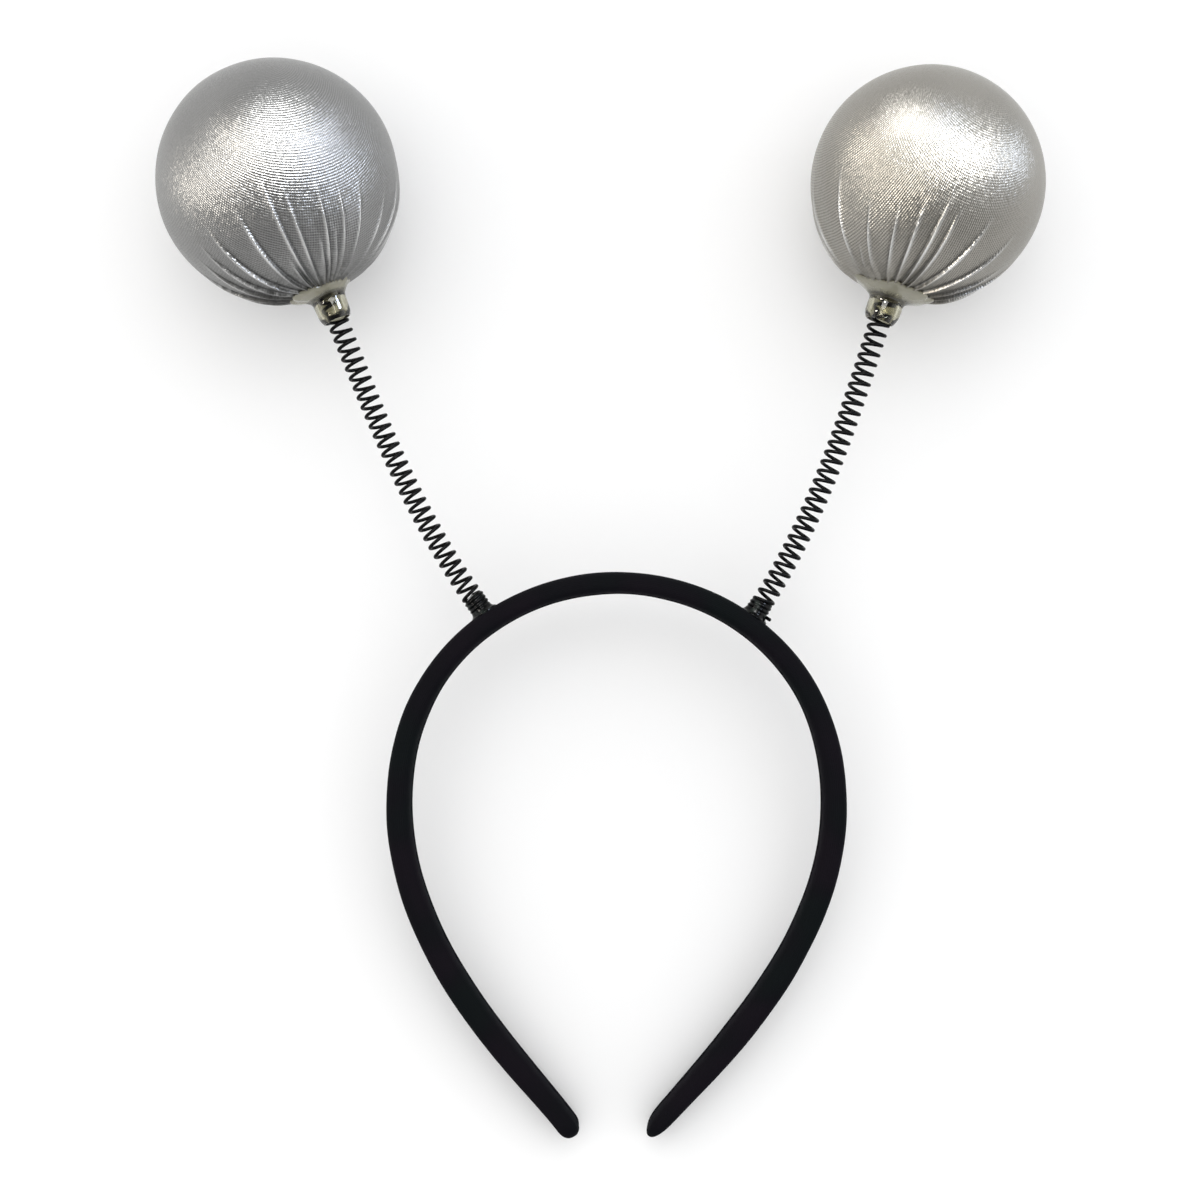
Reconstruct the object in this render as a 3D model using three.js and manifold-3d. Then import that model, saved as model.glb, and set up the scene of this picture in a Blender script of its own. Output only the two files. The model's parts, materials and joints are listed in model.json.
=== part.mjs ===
// Head bopper: a padded headband with two coil springs that each carry a knit-covered ball.
// Millimetres. It is built as worn, with X to the wearer's side, Y from front to back and Z up,
// and then laid on its back, where it rests on both balls and on the ends of its arms.

import * as THREE from 'three';
import { mergeVertices } from 'three/addons/utils/BufferGeometryUtils.js';
import Module from 'manifold-3d';

const wasm = await Module();
wasm.setup();

// Room left between pieces that are glued or clamped together
const gap = 0.3;

// Headband: heights are counted from the level where the arms are widest apart
const bandSpread = 56.6;
const crownRise = 57.9;
const armDrop = 86;
const bandDepth = 11;
const crownThickness = 5.5;
const armThickness = 6.7;
const seatLength = 8;

// Coil springs
const wireDiameter = 0.93;
const coilDiameter = 5.9;
const coilPitch = 2.68;
const closedRoom = 0.19;

// Glue feet on the band and glue collars on the balls
const footRadius = 3.4;
const footRoot = 1.5;
const skirtHeight = 1.2;
const collarWall = 1.25;
const flangeThickness = 1;

// Pleats where the knit is gathered at the collar, which fade out towards the ball's equator
const pleatCount = 24;
const pleatDepth = 0.8;
const pleatReach = { poleStart: 3, poleEnd: 12, fadeStart: 18, fadeEnd: 92 };

// Left side: the end of the arm, the foot and its spring, and the ball with its collar
const leftTipOffset = 10.9;
const leftTipThickness = 5.6;
const leftFootDistance = 35;
const leftFootHeight = 4.9;
const leftSpringLength = 80.3;
const leftNeckLength = 8.2;
const leftFlangeRadius = 7.8;
const leftFlangeShift = -1.2;
const leftBallRadius = 31.3;

// Right side, where the handmade piece differs a little
const rightTipOffset = 8.3;
const rightTipThickness = 4.8;
const rightFootDistance = 36.4;
const rightFootHeight = 4.2;
const rightSpringLength = 79.2;
const rightNeckLength = 7.7;
const rightFlangeRadius = 9.9;
const rightFlangeShift = 0.8;
const rightBallRadius = 30.3;

// The two sides with their leans in degrees and the spring's first turn as a share of a turn
const sides = [
  {
    name: 'left', outward: -1, tipOffset: leftTipOffset, tipLean: 30, tipThickness: leftTipThickness,
    footDistance: leftFootDistance, footHeight: leftFootHeight, springLength: leftSpringLength,
    leanAtFoot: 35.4, leanAtTop: 21.4, firstTurn: 0.7, ballLean: 23.2, neckLength: leftNeckLength,
    flangeRadius: leftFlangeRadius, flangeShift: leftFlangeShift, ballRadius: leftBallRadius,
  },
  {
    name: 'right', outward: 1, tipOffset: rightTipOffset, tipLean: 34, tipThickness: rightTipThickness,
    footDistance: rightFootDistance, footHeight: rightFootHeight, springLength: rightSpringLength,
    leanAtFoot: 32.7, leanAtTop: 17.6, firstTurn: 0.6, ballLean: 19.1, neckLength: rightNeckLength,
    flangeRadius: rightFlangeRadius, flangeShift: rightFlangeShift, ballRadius: rightBallRadius,
  },
];

// Shape of the band's line, as shares of the size that each handle runs along
const lineShape = { crownAcross: 0.44, crownDown: 0.7, armDown: 0.485, tipUp: 0.17 };

// Rounding of an arm's end: the way along it, and the section's thickness and depth, as shares
const tipRounding = [
  { along: 0.45, thickness: 0.89, depth: 0.93 },
  { along: 0.8, thickness: 0.6, depth: 0.74 },
  { along: 1, thickness: 0.2, depth: 0.48 },
];

// Profile of a foot: radius as a share of the foot's radius, height as a share of the skirt's
const skirtProfile = [
  { radius: 1, height: 0 },
  { radius: 0.9, height: 0.35 },
  { radius: 0.76, height: 0.8 },
  { radius: 0.66, height: 1 },
];

// Profile of a collar's neck: wall as a share of the collar's, height as a share of the neck's
const neckProfile = [
  { wall: 0.2, height: 0 },
  { wall: 0.62, height: 0.16 },
  { wall: 0.98, height: 0.4 },
  { wall: 1, height: 0.66 },
  { wall: 1.35, height: 0.84 },
];

// Profile of a collar's flange: radius as a share of the flange's, thickness as a share of its own
const flangeProfile = [
  { radius: 0.8, thickness: 0.9 },
  { radius: 0.95, thickness: 0.7 },
  { radius: 1, thickness: 0.25 },
];

// Facets
const bandSections = 22;
const bandSides = 12;
const bandRoundness = 2 / 3;
const turnSteps = 10;
const wireSides = 5;
const footSides = 16;
const collarSides = 18;
const ballRings = 12;
const settlePasses = 12;

const wireRadius = wireDiameter / 2;
const closedPitch = wireDiameter + closedRoom;
const coilRadius = coilDiameter / 2 - wireRadius;
const coilInside = coilRadius * Math.cos(Math.PI / turnSteps) - wireRadius;
const pegRadius = coilInside - gap;
const socketRadius = coilDiameter / 2 + gap;
const neckRadius = socketRadius + collarWall;

// Finishes
const finishes = {
  bandFabric: { color: 0x0c0d11, roughness: 0.9, metalness: 0 },
  springWire: { color: 0x141416, roughness: 0.35, metalness: 0.6 },
  footGlue: { color: 0x1b1c1d, roughness: 0.25, metalness: 0 },
  collarGlue: { color: 0x8a8a78, roughness: 0.2, metalness: 0 },
  ballKnit: { color: 0x9a9a98, roughness: 0.35, metalness: 0.8 },
};

function named(name, geometry, finish) {
  const mesh = new THREE.Mesh(geometry, new THREE.MeshStandardMaterial(finishes[finish]));
  mesh.name = name;
  return mesh;
}

// Merges the points that faces share and drops the faces that a pole or a tip has closed up
function joinedFaces(geometry) {
  const bare = geometry.clone();
  bare.deleteAttribute('normal');
  bare.deleteAttribute('uv');
  const merged = mergeVertices(bare, 1e-3);
  const corners = merged.index.array;
  const kept = [];
  for (let i = 0; i < corners.length; i += 3) {
    const [a, b, c] = corners.slice(i, i + 3);
    if (a !== b && b !== c && c !== a) kept.push(a, b, c);
  }
  merged.setIndex(kept);
  return merged;
}

function solidFrom(geometry) {
  const faces = joinedFaces(geometry);
  return new wasm.Manifold(new wasm.Mesh({
    numProp: 3,
    vertProperties: Float32Array.from(faces.attributes.position.array),
    triVerts: Uint32Array.from(faces.index.array),
  }));
}

function geometryFrom(solid) {
  const mesh = solid.getMesh();
  const geometry = new THREE.BufferGeometry();
  geometry.setAttribute('position', new THREE.BufferAttribute(mesh.vertProperties, mesh.numProp));
  geometry.setIndex(new THREE.BufferAttribute(mesh.triVerts, 1));
  geometry.computeVertexNormals();
  return geometry;
}

function cutAway(geometry, cutter) {
  return geometryFrom(solidFrom(geometry).subtract(solidFrom(cutter)));
}

// Skins a row of rings, each with the same number of points, and closes both ends
function skinRings(rings) {
  const count = rings[0].length;
  const points = rings.flat();
  const faces = [];
  for (let ring = 0; ring < rings.length - 1; ring++) {
    for (let i = 0; i < count; i++) {
      const near = ring * count + i;
      const next = ring * count + (i + 1) % count;
      faces.push(near, next + count, next, near, near + count, next + count);
    }
  }
  const lastRing = (rings.length - 1) * count;
  for (let i = 1; i < count - 1; i++) {
    faces.push(0, i, i + 1, lastRing, lastRing + i + 1, lastRing + i);
  }
  const geometry = new THREE.BufferGeometry().setFromPoints(points);
  geometry.setIndex(faces);
  geometry.computeVertexNormals();
  return geometry;
}

// Turned form about Z, with Z up; the profile starts and ends on the axis
function turned(profile, sidesAround) {
  const points = profile.map(([radius, height]) => new THREE.Vector2(radius, height));
  return new THREE.LatheGeometry(points, sidesAround).rotateX(Math.PI / 2);
}

// Band line on one side, from the middle of the crown to the end of the arm
function bandLine(side) {
  const across = side.outward * bandSpread;
  const tipX = side.outward * side.tipOffset;
  const lean = THREE.MathUtils.degToRad(side.tipLean);
  const tipHandle = lineShape.tipUp * armDrop;
  const line = new THREE.CurvePath();
  line.add(new THREE.CubicBezierCurve3(
    new THREE.Vector3(0, 0, crownRise),
    new THREE.Vector3(lineShape.crownAcross * across, 0, crownRise),
    new THREE.Vector3(across, 0, lineShape.crownDown * crownRise),
    new THREE.Vector3(across, 0, 0),
  ));
  line.add(new THREE.CubicBezierCurve3(
    new THREE.Vector3(across, 0, 0),
    new THREE.Vector3(across, 0, -lineShape.armDown * armDrop),
    new THREE.Vector3(
      tipX + side.outward * Math.sin(lean) * tipHandle, 0, -armDrop + Math.cos(lean) * tipHandle,
    ),
    new THREE.Vector3(tipX, 0, -armDrop),
  ));
  return line;
}

// Place on the band line: its point, and the way out of the head there
function bandPlace(side, share) {
  const line = bandLine(side);
  const along = line.getTangentAt(share);
  return {
    point: line.getPointAt(share),
    out: new THREE.Vector3(-side.outward * along.z, 0, side.outward * along.x),
  };
}

// Thickness of the band at a share of the way from the crown to the end of an arm
function bandThickness(side, share) {
  const grown = THREE.MathUtils.lerp(
    crownThickness, armThickness, THREE.MathUtils.smoothstep(share, 0, 0.75),
  );
  const tapered = THREE.MathUtils.smoothstep(share, 0.8, 1);
  return THREE.MathUtils.lerp(grown, side.tipThickness, tapered);
}

// Cosine or sine with its round bulged out towards a square
function bulged(wave) {
  return Math.sign(wave) * Math.abs(wave) ** bandRoundness;
}

// Rounded oblong section, square to the band line, swelled all round by the room asked for
function bandSection(side, share, thickness, depth, room) {
  const { point, out } = bandPlace(side, share);
  const halfThickness = thickness * bandThickness(side, share) / 2 + room;
  const halfDepth = depth * bandDepth / 2 + room;
  const section = [];
  for (let i = 0; i < bandSides; i++) {
    const angle = 2 * Math.PI * (i + 0.5) / bandSides;
    const outward = bulged(Math.cos(angle));
    const backward = bulged(Math.sin(angle));
    section.push(point.clone()
      .addScaledVector(out, outward * halfThickness)
      .add(new THREE.Vector3(0, backward * halfDepth, 0)));
  }
  return section;
}

// Sections of one half of the band, from the flat seat at the crown to the rounded arm end
function halfBand(side, room) {
  const length = bandLine(side).getLength();
  const seatShare = seatLength / 2 / length;
  const roundShare = 1 - side.tipThickness / 2 / length;
  const rings = [];
  for (let i = 0; i < bandSections; i++) {
    const share = THREE.MathUtils.lerp(seatShare, roundShare, i / (bandSections - 1));
    rings.push(bandSection(side, share, 1, 1, room));
  }
  for (const step of tipRounding) {
    const share = THREE.MathUtils.lerp(roundShare, 1, step.along);
    rings.push(bandSection(side, share, step.thickness, step.depth, room));
  }
  return rings;
}

function bandGeometry(room) {
  const [left, right] = sides;
  const leftRings = halfBand(left, room).reverse();
  return skinRings([...leftRings, ...halfBand(right, room)]);
}

// Distances along a spring's middle line, from the band's surface
function collarStart(side) {
  return side.footHeight + side.springLength;
}

function ballStart(side) {
  return collarStart(side) + side.neckLength;
}

// Lean of a spring's middle line, from the vertical, at a distance along it.
// It is straight in the foot and in the collar. Between them the ball's weight bends it most at the foot.
function springLean(side, distance) {
  const share = THREE.MathUtils.clamp((distance - side.footHeight) / side.springLength, 0, 1);
  const bent = THREE.MathUtils.lerp(side.leanAtTop, side.leanAtFoot, (1 - share) ** 2);
  const lean = distance < collarStart(side) ? bent : side.ballLean;
  return side.outward * THREE.MathUtils.degToRad(lean);
}

function leaning(angle) {
  return new THREE.Vector3(Math.sin(angle), 0, Math.cos(angle));
}

// Where a spring's middle line starts, on the outer surface of the band
function footPlace(side) {
  const share = side.footDistance / bandLine(side).getLength();
  const { point, out } = bandPlace(side, share);
  return point.addScaledVector(out, bandThickness(side, share) / 2);
}

// Middle line of a spring, stepped from the band's surface to the collar's end
function springLine(side) {
  const stepLength = 0.5;
  const total = ballStart(side);
  const steps = Math.ceil(total / stepLength);
  const points = [footPlace(side)];
  for (let i = 0; i < steps; i++) {
    const middle = (i + 0.5) * total / steps;
    const step = leaning(springLean(side, middle)).multiplyScalar(total / steps);
    points.push(points[i].clone().add(step));
  }
  return (distance) => {
    const place = THREE.MathUtils.clamp(distance / total, 0, 1) * steps;
    const before = Math.min(Math.floor(place), steps - 1);
    return points[before].clone().lerp(points[before + 1], place - before);
  };
}

// Wire of a coil spring: closed turns over the foot's peg, open turns, and an end in the collar
class CoilCurve extends THREE.Curve {
  constructor(side) {
    super();
    this.side = side;
    this.line = springLine(side);
    this.start = skirtHeight + gap + wireRadius;
    this.closedTurns = (side.footHeight - this.start) / closedPitch;
    const end = collarStart(side) + socketDepth(side) - gap - wireRadius;
    this.openTurns = (end - side.footHeight) / coilPitch;
    this.turns = this.closedTurns + this.openTurns;
    this.arcLengthDivisions = Math.round(this.turns * turnSteps * 4);
  }

  getPoint(t, target = new THREE.Vector3()) {
    const turn = t * this.turns;
    const closed = Math.min(turn, this.closedTurns);
    const open = turn - closed;
    const distance = this.start + closed * closedPitch + open * coilPitch;
    const lean = springLean(this.side, distance);
    const angle = 2 * Math.PI * (turn + this.side.firstTurn);
    return target.copy(this.line(distance))
      .addScaledVector(leaning(lean + Math.PI / 2), Math.cos(angle) * coilRadius)
      .add(new THREE.Vector3(0, Math.sin(angle) * coilRadius, 0));
  }
}

function springGeometry(side) {
  const wire = new CoilCurve(side);
  const section = [];
  for (let i = 0; i < wireSides; i++) {
    const angle = 2 * Math.PI * i / wireSides;
    section.push(new THREE.Vector2(Math.cos(angle), Math.sin(angle)).multiplyScalar(wireRadius));
  }
  const steps = Math.round(wire.turns * turnSteps);
  return new THREE.ExtrudeGeometry(new THREE.Shape(section), { steps, extrudePath: wire });
}

// Depth of the blind socket that a collar gives its spring
function socketDepth(side) {
  return side.neckLength - flangeThickness;
}

// Frame of a piece that stands on a spring's middle line
function placeOnSpring(side, distance) {
  const turn = new THREE.Matrix4().makeRotationY(springLean(side, distance));
  return turn.setPosition(springLine(side)(distance));
}

function foot(side) {
  const profile = [
    [0, -footRoot],
    [footRadius, -footRoot],
    ...skirtProfile.map((row) => [row.radius * footRadius, row.height * skirtHeight]),
    [pegRadius, skirtHeight],
    [pegRadius, side.footHeight],
    [0, side.footHeight + pegRadius / 2],
  ];
  const place = placeOnSpring(side, 0);
  const bandRoom = bandGeometry(gap).applyMatrix4(place.clone().invert());
  const mesh = named(`${side.name}_foot`, cutAway(turned(profile, footSides), bandRoom), 'footGlue');
  mesh.applyMatrix4(place);
  return mesh;
}

// How far the knit is gathered into pleats, from 0 to 1, at an angle from the gathered pole
function gathering(polar) {
  const angle = THREE.MathUtils.radToDeg(polar);
  const grown = THREE.MathUtils.smoothstep(angle, pleatReach.poleStart, pleatReach.poleEnd);
  const faded = THREE.MathUtils.smoothstep(angle, pleatReach.fadeStart, pleatReach.fadeEnd);
  return grown * (1 - faded);
}

// Ball about Z, with its gathered pole down: each pleat is a crest between two furrows
function ballGeometry(side, room) {
  const geometry = new THREE.SphereGeometry(side.ballRadius, 2 * pleatCount, ballRings);
  geometry.rotateX(-Math.PI / 2);
  const point = new THREE.Vector3();
  const places = geometry.attributes.position;
  for (let i = 0; i < places.count; i++) {
    point.fromBufferAttribute(places, i);
    const polar = Math.acos(THREE.MathUtils.clamp(-point.z / side.ballRadius, -1, 1));
    const around = Math.atan2(point.y, point.x);
    const crest = Math.cos(pleatCount * around) * gathering(polar) * pleatDepth / 2;
    point.setLength(side.ballRadius + crest + room);
    places.setXYZ(i, point.x, point.y, point.z);
  }
  return geometry;
}

function ballPlace(side) {
  return placeOnSpring(side, ballStart(side))
    .multiply(new THREE.Matrix4().makeTranslation(0, 0, side.ballRadius));
}

function ball(side) {
  const mesh = named(`${side.name}_ball`, joinedFaces(ballGeometry(side, 0)), 'ballKnit');
  mesh.applyMatrix4(ballPlace(side));
  return mesh;
}

// Height of a ball's surface above the start of its collar, at a distance from the axis
function ballHeight(side, radius) {
  return side.neckLength + side.ballRadius - Math.sqrt(side.ballRadius ** 2 - radius ** 2);
}

function collar(side) {
  const flange = flangeProfile.map((row) => {
    const radius = row.radius * side.flangeRadius;
    return [radius, ballHeight(side, radius) - gap - row.thickness * flangeThickness];
  });
  const insideBall = ballHeight(side, side.flangeRadius) + flangeThickness;
  const profile = [
    [0, socketDepth(side)],
    [socketRadius, socketDepth(side)],
    [socketRadius, 0],
    ...neckProfile.map((row) => [socketRadius + row.wall * collarWall, row.height * socketDepth(side)]),
    ...flange,
    [side.flangeRadius, insideBall],
    [0, insideBall],
  ];
  const geometry = turned(profile, collarSides);
  shiftFlange(side, geometry);
  const place = placeOnSpring(side, collarStart(side));
  const ballRoom = ballGeometry(side, gap).applyMatrix4(place.clone().invert().multiply(ballPlace(side)));
  const mesh = named(`${side.name}_collar`, cutAway(geometry, ballRoom), 'collarGlue');
  mesh.applyMatrix4(place);
  return mesh;
}

// The glue ran further on one side: points beyond the neck slide across by the flange's shift
function shiftFlange(side, geometry) {
  const places = geometry.attributes.position;
  for (let i = 0; i < places.count; i++) {
    const radius = Math.hypot(places.getX(i), places.getY(i));
    const share = THREE.MathUtils.smoothstep(radius, neckRadius, side.flangeRadius);
    places.setX(i, places.getX(i) + share * side.flangeShift);
  }
}

// Point of a mesh that lies furthest along a direction
function furthest(mesh, direction) {
  const places = mesh.geometry.attributes.position;
  const point = new THREE.Vector3();
  const best = new THREE.Vector3();
  let reach = -Infinity;
  for (let i = 0; i < places.count; i++) {
    point.fromBufferAttribute(places, i).applyMatrix4(mesh.matrix);
    if (point.dot(direction) > reach) {
      reach = point.dot(direction);
      best.copy(point);
    }
  }
  return best;
}

// Turn that lays the meshes on a floor, on one point of each, starting from flat on the back
function restingTurn(meshes) {
  const down = new THREE.Vector3(0, 1, 0);
  for (let pass = 0; pass < settlePasses; pass++) {
    const touching = meshes.map((mesh) => furthest(mesh, down));
    const floor = new THREE.Plane().setFromCoplanarPoints(...touching);
    down.copy(floor.normal).multiplyScalar(Math.sign(floor.normal.y));
  }
  return new THREE.Quaternion().setFromUnitVectors(down, new THREE.Vector3(0, 0, -1));
}

const headband = named('headband', bandGeometry(0), 'bandFabric');
const balls = sides.map((side) => ball(side));
const springs = sides.map((side) => named(`${side.name}_spring`, springGeometry(side), 'springWire'));
const feet = sides.map((side) => foot(side));
const collars = sides.map((side) => collar(side));

const worn = new THREE.Group();
worn.add(headband, ...feet, ...springs, ...collars, ...balls);
worn.quaternion.copy(restingTurn([...balls, headband]));

// The origin is on the floor, under the middle of the whole object
const bopper = new THREE.Group();
bopper.add(worn);
const box = new THREE.Box3().setFromObject(bopper, true);
worn.position.set(-(box.min.x + box.max.x) / 2, -(box.min.y + box.max.y) / 2, -box.min.z);
bopper.updateMatrixWorld(true);

export default bopper;
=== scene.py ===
import json
import math

import bpy
import numpy as np
from mathutils import Matrix, Vector


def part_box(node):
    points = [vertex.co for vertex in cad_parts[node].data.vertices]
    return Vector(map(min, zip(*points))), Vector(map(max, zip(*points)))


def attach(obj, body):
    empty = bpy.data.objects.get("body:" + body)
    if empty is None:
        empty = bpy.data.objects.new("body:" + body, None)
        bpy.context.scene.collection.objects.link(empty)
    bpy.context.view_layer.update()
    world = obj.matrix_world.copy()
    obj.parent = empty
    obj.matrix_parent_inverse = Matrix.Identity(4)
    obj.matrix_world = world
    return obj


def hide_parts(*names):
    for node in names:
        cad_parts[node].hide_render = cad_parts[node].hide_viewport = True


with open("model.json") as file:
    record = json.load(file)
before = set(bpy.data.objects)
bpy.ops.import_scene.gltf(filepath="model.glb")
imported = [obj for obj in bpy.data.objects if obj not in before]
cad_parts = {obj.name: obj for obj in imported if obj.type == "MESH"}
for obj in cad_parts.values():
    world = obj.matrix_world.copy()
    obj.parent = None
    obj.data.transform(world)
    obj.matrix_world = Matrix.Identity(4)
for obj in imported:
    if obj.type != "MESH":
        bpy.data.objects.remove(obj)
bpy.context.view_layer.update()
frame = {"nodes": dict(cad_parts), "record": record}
print("frame loaded")

# Every piece is drawn in millimetres as worn, like the part itself: X to the photo's right,
# Y away from the viewer, Z up. The frame lies on its back, so its seat and balls give the turn.
seatHeight = 55.0724  # inner face of the crown above the level where the arms are widest apart


def unit(vector):
    return vector / np.linalg.norm(vector)


def middleOf(nodeName):
    return np.mean([vertex.co for vertex in frame["nodes"][nodeName].data.vertices], axis=0)


seat = next(mount for mount in frame["record"]["mounts"] if mount["name"] == "crown_seat")
wornUp = -unit(np.array(seat["axis"]))
wornBack = unit(np.cross(wornUp, middleOf("right_ball") - middleOf("left_ball")))
wornAxes = np.array([np.cross(wornBack, wornUp), wornBack, wornUp])
wornOrigin = np.array(seat["pos_m"]) - wornUp * seatHeight / 1000


def laidDown(points):
    return wornOrigin + np.asarray(points) / 1000 @ wornAxes


# Camera
cameraSetup = {
    "place": (-4.3, -600, 53.3),  # straight in front of the middle of the photo
    "lens": 69.2,
    "sensor": 36,
}

camera = bpy.data.objects.new("camera", bpy.data.cameras.new("camera"))
camera.data.lens = cameraSetup["lens"]
camera.data.sensor_width = cameraSetup["sensor"]
camera.data.clip_start = 0.01
cameraAxes = np.array([wornAxes[0], wornAxes[2], -wornAxes[1]]).T
cameraPlace = Matrix.Translation(laidDown(cameraSetup["place"]))
camera.matrix_world = cameraPlace @ Matrix(cameraAxes.tolist()).to_4x4()
bpy.context.scene.collection.objects.link(camera)
bpy.context.scene.camera = camera
print("camera placed")


# Small helpers for shapes
def smoothStep(value, low, high):
    share = np.clip((value - low) / (high - low), 0, 1)
    return share * share * (3 - 2 * share)


def mixed(first, second, share):
    return first + (second - first) * share


def leaning(angle):
    angle = np.asarray(angle, float)
    return np.stack([np.sin(angle), np.zeros_like(angle), np.cos(angle)], axis=-1)


def softWaves(points, size, seed, count=9):
    # smooth random swells from -1 to 1, about size millimetres apart
    random = np.random.default_rng(seed)
    directions = random.normal(size=(count, 3))
    directions /= np.linalg.norm(directions, axis=1)[:, None]
    directions *= 2 * math.pi / (size * random.uniform(0.7, 1.5, count))[:, None]
    phases = random.uniform(0, 2 * math.pi, count)
    return np.sin(points @ directions.T + phases).mean(axis=-1) * 2


def cornersCut(points, passes):
    # rounds a row of control points by cutting its corners, and keeps both ends
    for _ in range(passes):
        near = 0.75 * points[:-1] + 0.25 * points[1:]
        far = 0.25 * points[:-1] + 0.75 * points[1:]
        cut = np.stack([near, far], axis=1).reshape(-1, *points.shape[1:])
        points = np.concatenate([points[:1], cut, points[-1:]])
    return points


def skin(name, rings, material, fabric=None, marks=None):
    # rings run along the piece, and their points anticlockwise seen against that direction;
    # fabric gives each point its place on the flat cloth, with one more column at the seam
    rows, columns = rings.shape[:2]
    points = np.concatenate([rings.reshape(-1, 3), [rings[0].mean(axis=0)], [rings[-1].mean(axis=0)]])
    grid = np.arange(rows * columns).reshape(rows, columns)
    following = np.roll(grid, -1, axis=1)
    walls = np.stack([grid[:-1], following[:-1], following[1:], grid[1:]], axis=-1).reshape(-1, 4)
    firstPole = np.full(columns, rows * columns)
    firstCap = np.stack([firstPole, following[0], grid[0]], axis=-1)
    lastCap = np.stack([firstPole + 1, grid[-1], following[-1]], axis=-1)
    mesh = bpy.data.meshes.new(name)
    faces = walls.tolist() + firstCap.tolist() + lastCap.tolist()
    mesh.from_pydata(laidDown(points).tolist(), [], faces)
    mesh.polygons.foreach_set("use_smooth", np.ones(len(mesh.polygons), bool))
    if fabric is not None:
        poles = [np.repeat(fabric[row].mean(axis=0)[None], columns, axis=0) for row in (0, -1)]
        wallCorners = [fabric[:-1, :-1], fabric[:-1, 1:], fabric[1:, 1:], fabric[1:, :-1]]
        firstCorners = [poles[0], fabric[0, 1:], fabric[0, :-1]]
        lastCorners = [poles[1], fabric[-1, :-1], fabric[-1, 1:]]
        corners = np.concatenate([
            np.stack(wallCorners, axis=2).reshape(-1, 2),
            np.stack(firstCorners, axis=1).reshape(-1, 2),
            np.stack(lastCorners, axis=1).reshape(-1, 2),
        ])
        mesh.uv_layers.new(name="fabric").data.foreach_set("uv", corners.astype(np.float32).ravel())
    for markName, values in (marks or {}).items():
        withPoles = np.concatenate([values.ravel(), [values[0].mean(), values[-1].mean()]])
        layer = mesh.attributes.new(markName, "FLOAT", "POINT")
        layer.data.foreach_set("value", withPoles.astype(np.float32))
    return finishedPiece(name, mesh, material)


def finishedPiece(name, mesh, material):
    piece = bpy.data.objects.new(name, mesh)
    if material.name not in mesh.materials:
        mesh.materials.append(material)
    bpy.context.scene.collection.objects.link(piece)
    return piece


def intoFrame(piece, nodeName):
    # the piece takes its node's place; how far the two boxes differ is printed in millimetres
    low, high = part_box(nodeName)
    corners = np.array([vertex.co for vertex in piece.data.vertices])
    change = (corners.min(axis=0) - low) * 1000, (corners.max(axis=0) - high) * 1000
    print(f"{piece.name}: {len(piece.data.polygons)} faces, box differs by", *np.round(change, 2))
    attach(piece, "root")
    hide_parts(nodeName)


# Small helpers for materials
def addNode(tree, kind, inputs=None, **settings):
    made = tree.nodes.new(kind)
    for setting, value in settings.items():
        setattr(made, setting, value)
    for socket, value in (inputs or {}).items():
        if isinstance(value, bpy.types.NodeSocket):
            tree.links.new(value, made.inputs[socket])
        else:
            made.inputs[socket].default_value = value
    return made


def linear(hexColour):
    channels = [int(hexColour[start:start + 2], 16) / 255 for start in (1, 3, 5)]
    return [c / 12.92 if c <= 0.04045 else ((c + 0.055) / 1.055) ** 2.4 for c in channels] + [1]


def waveScale(period):
    # scale of a wave texture whose bands are period millimetres apart: they are pi / 10 at scale 1
    return math.pi / 10 / (period / 1000)


def startMaterial(name, colour, **fixed):
    # colour is the plain one, which also stands where a program reads no nodes
    material = bpy.data.materials.new(name)
    material.use_nodes = True
    shader = material.node_tree.nodes["Principled BSDF"]
    shader.inputs["Base Color"].default_value = linear(colour)
    for socket, value in fixed.items():
        shader.inputs[socket.replace("_", " ")].default_value = value
    return material, material.node_tree, shader


# Black brushed tricot, wrapped and glued: a short matt nap that drinks the light and only
# greys a little where it turns away, with a faint blue, green and violet cast in the dye
bandCloth = {
    "colour": "#0a0b0e",
    "sheen": "#6e7388",
    "cast": [(0.38, "#080d0f"), (0.5, "#0a0a0f"), (0.62, "#0f0b12")],
    "castPatch": 22,  # millimetres across a patch of cast
    "rib": 0.55,  # the tricot's own 0.3 mm rib is too fine to show
    "nap": 0.9,
    "napShare": 0.65,  # how much of the relief is nap, with ribs for the rest
    "relief": 0.2,
}


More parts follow.
